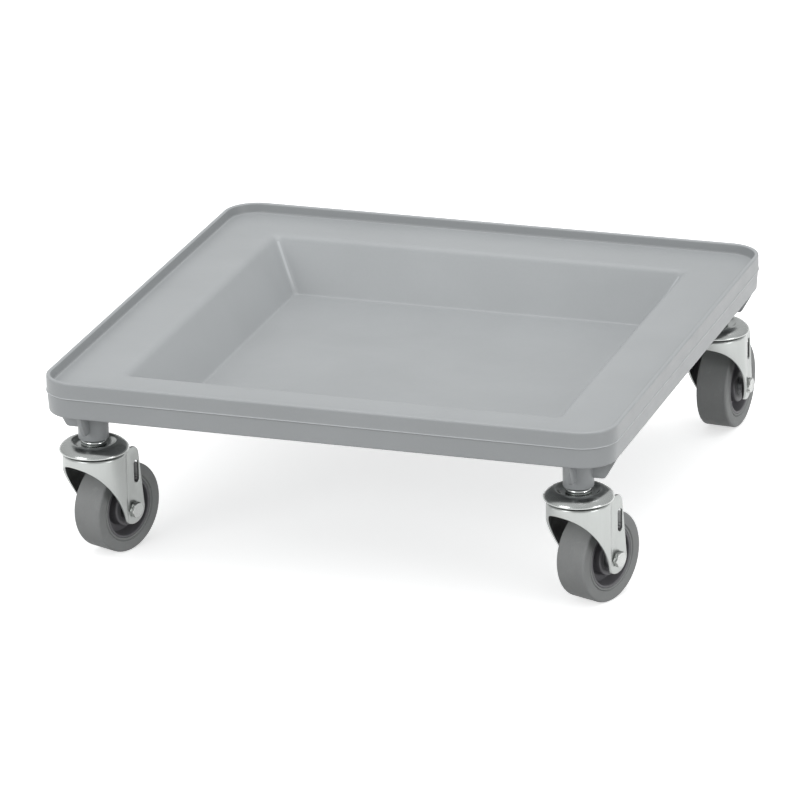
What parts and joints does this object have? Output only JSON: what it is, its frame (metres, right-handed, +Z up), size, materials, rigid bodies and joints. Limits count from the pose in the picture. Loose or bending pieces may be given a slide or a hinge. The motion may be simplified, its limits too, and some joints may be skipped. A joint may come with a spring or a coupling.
{
  "type": "rack dolly",
  "caption": "Square moulded tray dolly with a raised rim and sunken centre, rolling on swivel stem casters.",
  "frame": {"origin": "on the floor, at the middle of the whole footprint as stored; the tray's own centre is 15 mm towards -Y of it, because the back wheels trail out behind", "axes": "+Z up; -Y is the front, the side the casters trail away from; +X is to the right seen from the front"},
  "size_m": [0.544, 0.5755, 0.182],
  "materials": {
    "moulded": "light grey moulded plastic, satin",
    "zinc": "bright zinc plate, soft sheen",
    "polished": "polished plate",
    "bright_steel": "bright zinc plate",
    "steel": "plain steel",
    "tyre": "grey non-marking rubber",
    "core": "dark grey moulded core"
  },
  "bodies": {
    "tray": {"deck": "moulded", "insert_fl": "steel", "stem_fl": "polished", "cap_fl": "zinc", "race_fl": "steel", "insert_fr": "steel", "stem_fr": "polished", "cap_fr": "zinc", "race_fr": "steel", "insert_bl": "steel", "stem_bl": "polished", "cap_bl": "zinc", "race_bl": "steel", "insert_br": "steel", "stem_br": "polished", "cap_br": "zinc", "race_br": "steel"},
    "swivel_fl": {"fork_fl": "zinc", "balls_fl": "polished", "bolt_fl": "bright_steel", "nut_fl": "bright_steel", "spacer_fl": "steel"},
    "wheel_fl": {"tyre_fl": "tyre", "hub_fl": "core", "bearing_a_fl": "polished", "bearing_b_fl": "polished"},
    "swivel_fr": {"fork_fr": "zinc", "balls_fr": "polished", "bolt_fr": "bright_steel", "nut_fr": "bright_steel", "spacer_fr": "steel"},
    "wheel_fr": {"tyre_fr": "tyre", "hub_fr": "core", "bearing_a_fr": "polished", "bearing_b_fr": "polished"},
    "swivel_bl": {"fork_bl": "zinc", "balls_bl": "polished", "bolt_bl": "bright_steel", "nut_bl": "bright_steel", "spacer_bl": "steel"},
    "wheel_bl": {"tyre_bl": "tyre", "hub_bl": "core", "bearing_a_bl": "polished", "bearing_b_bl": "polished"},
    "swivel_br": {"fork_br": "zinc", "balls_br": "polished", "bolt_br": "bright_steel", "nut_br": "bright_steel", "spacer_br": "steel"},
    "wheel_br": {"tyre_br": "tyre", "hub_br": "core", "bearing_a_br": "polished", "bearing_b_br": "polished"}
  },
  "joints": [
    {"name": "swivel_fl", "type": "hinge", "parent": "tray", "child": "swivel_fl", "pos_m": [-0.232, -0.247, 0.104], "axis": [0, 0, 1], "continuous": true},
    {"name": "spin_fl", "type": "hinge", "parent": "swivel_fl", "child": "wheel_fl", "pos_m": [-0.22174, -0.22095, 0.0425], "axis": [0.9304, -0.3665, 0], "continuous": true},
    {"name": "swivel_fr", "type": "hinge", "parent": "tray", "child": "swivel_fr", "pos_m": [0.232, -0.247, 0.104], "axis": [0, 0, 1], "continuous": true},
    {"name": "spin_fr", "type": "hinge", "parent": "swivel_fr", "child": "wheel_fr", "pos_m": [0.24203, -0.22086, 0.0425], "axis": [0.9336, -0.3584, 0], "continuous": true},
    {"name": "swivel_bl", "type": "hinge", "parent": "tray", "child": "swivel_bl", "pos_m": [-0.232, 0.217, 0.104], "axis": [0, 0, 1], "continuous": true},
    {"name": "spin_bl", "type": "hinge", "parent": "swivel_bl", "child": "wheel_bl", "pos_m": [-0.22428, 0.24392, 0.0425], "axis": [0.9613, -0.2756, 0], "continuous": true},
    {"name": "swivel_br", "type": "hinge", "parent": "tray", "child": "swivel_br", "pos_m": [0.232, 0.217, 0.104], "axis": [0, 0, 1], "continuous": true},
    {"name": "spin_br", "type": "hinge", "parent": "swivel_br", "child": "wheel_br", "pos_m": [0.23444, 0.24489, 0.0425], "axis": [0.9962, -0.0872, 0], "continuous": true}
  ]
}
